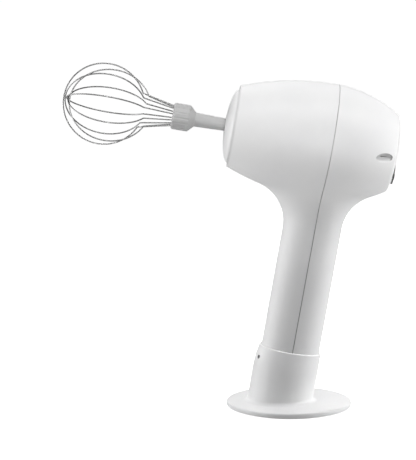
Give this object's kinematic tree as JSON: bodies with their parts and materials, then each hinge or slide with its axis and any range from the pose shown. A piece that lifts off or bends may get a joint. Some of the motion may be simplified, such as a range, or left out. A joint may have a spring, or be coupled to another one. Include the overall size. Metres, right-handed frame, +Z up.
{
  "type": "hand mixer",
  "caption": "Cordless pistol-grip hand mixer with a wire balloon whisk, an oval handle and a round-footed stand that holds it upright.",
  "frame": {"origin": "centre of the stand's foot, on the surface that it stands on", "axes": "+Z up, whisk towards -X, the mixer symmetric about the XZ plane"},
  "size_m": [0.2174, 0.082, 0.2259],
  "materials": {
    "shell_white": "satin gloss",
    "cap_white": "satin gloss",
    "stand_white": "satin gloss",
    "pad_rubber": "matt",
    "seal_rubber": "matt",
    "stem_grey": "satin",
    "whisk_wire": "polished",
    "drive_steel": "ground",
    "motor_steel": "plated",
    "port_steel": "plated",
    "screw_steel": "zinc plated",
    "armature_iron": "laminated",
    "magnet": "sintered",
    "bronze": "sintered",
    "copper": "bright",
    "gear_plastic": "moulded",
    "frame_plastic": "moulded",
    "bezel_grey": "satin gloss",
    "button_black": "gloss",
    "lamp_clear": "clear moulding",
    "board_green": "solder mask",
    "cell_wrap": "shrink wrap over a metal can",
    "lead_red": "insulated wire",
    "lead_black": "insulated wire"
  },
  "bodies": {
    "stand": {"stand_base": "stand_white", "stand_pad": "pad_rubber"},
    "mixer": {"front_housing": "shell_white", "rear_housing": "shell_white", "nose_cap": "cap_white", "nose_seal": "seal_rubber", "gearbox_housing": "frame_plastic", "ring_gear": "gear_plastic", "output_bush": "bronze", "gearbox_screws": "screw_steel", "motor_plate": "drive_steel", "plate_screws": "screw_steel", "motor_screws": "screw_steel", "motor_can": "motor_steel", "motor_magnets": "magnet", "motor_end_bell": "frame_plastic", "motor_bushes": "bronze", "motor_terminals": "copper", "control_bezel": "bezel_grey", "tact_switch": "frame_plastic", "indicator_led": "lamp_clear", "light_pipe": "lamp_clear", "control_board": "board_green", "driver_chip": "frame_plastic", "battery_cell": "cell_wrap", "battery_cradle": "frame_plastic", "charge_board": "board_green", "charge_port": "port_steel", "board_screws": "screw_steel", "housing_screws": "screw_steel", "motor_leads": "lead_red", "battery_leads": "lead_black"},
    "rotor": {"motor_shaft": "drive_steel", "sun_pinion": "bronze", "motor_armature": "armature_iron", "commutator": "copper"},
    "output": {"planet_carrier": "drive_steel", "planet_pins": "drive_steel", "carrier_ring": "drive_steel", "thrust_washer": "bronze"},
    "planet_1": {"planet_gear_1": "gear_plastic"},
    "planet_2": {"planet_gear_2": "gear_plastic"},
    "planet_3": {"planet_gear_3": "gear_plastic"},
    "whisk": {"whisk_stem": "stem_grey", "drive_pin": "drive_steel", "grip_ring": "seal_rubber", "whisk_loop_1": "whisk_wire", "whisk_loop_2": "whisk_wire", "whisk_loop_3": "whisk_wire", "whisk_loop_4": "whisk_wire", "whisk_loop_5": "whisk_wire"},
    "button": {"speed_button": "button_black", "switch_plunger": "frame_plastic"}
  },
  "joints": [
    {"name": "lift_out", "type": "slide", "parent": "stand", "child": "mixer", "axis": [0.1702, 0, 0.9854], "range_m": [0, 0.045]},
    {"name": "output_spin", "type": "hinge", "parent": "mixer", "child": "output", "pos_m": [-0.03669, 0, 0.18484], "axis": [0.9854, 0, -0.1702], "continuous": true},
    {"name": "rotor_spin", "type": "hinge", "parent": "mixer", "child": "rotor", "pos_m": [0.00273, 0, 0.17803], "axis": [0.9854, 0, -0.1702], "continuous": true},
    {"name": "planet_1_spin", "type": "hinge", "parent": "output", "child": "planet_1", "pos_m": [-0.02233, 0, 0.19454], "axis": [0.9854, 0, -0.1702], "continuous": true},
    {"name": "planet_2_spin", "type": "hinge", "parent": "output", "child": "planet_2", "pos_m": [-0.02539, -0.01039, 0.1768], "axis": [0.9854, 0, -0.1702], "continuous": true},
    {"name": "planet_3_spin", "type": "hinge", "parent": "output", "child": "planet_3", "pos_m": [-0.02539, 0.01039, 0.1768], "axis": [0.9854, 0, -0.1702], "continuous": true},
    {"name": "whisk_pull", "type": "slide", "parent": "output", "child": "whisk", "axis": [-0.9854, 0, 0.1702], "range_m": [0, 0.02]},
    {"name": "button_press", "type": "slide", "parent": "mixer", "child": "button", "axis": [-0.9854, 0, 0.1702], "range_m": [0, 0.0009], "stiffness_N_per_m": 2500}
  ],
  "couplings": [
    {"joint": "rotor_spin", "follows": "output_spin", "ratio": 4},
    {"joint": "planet_1_spin", "follows": "output_spin", "ratio": -3},
    {"joint": "planet_2_spin", "follows": "output_spin", "ratio": -3},
    {"joint": "planet_3_spin", "follows": "output_spin", "ratio": -3}
  ]
}
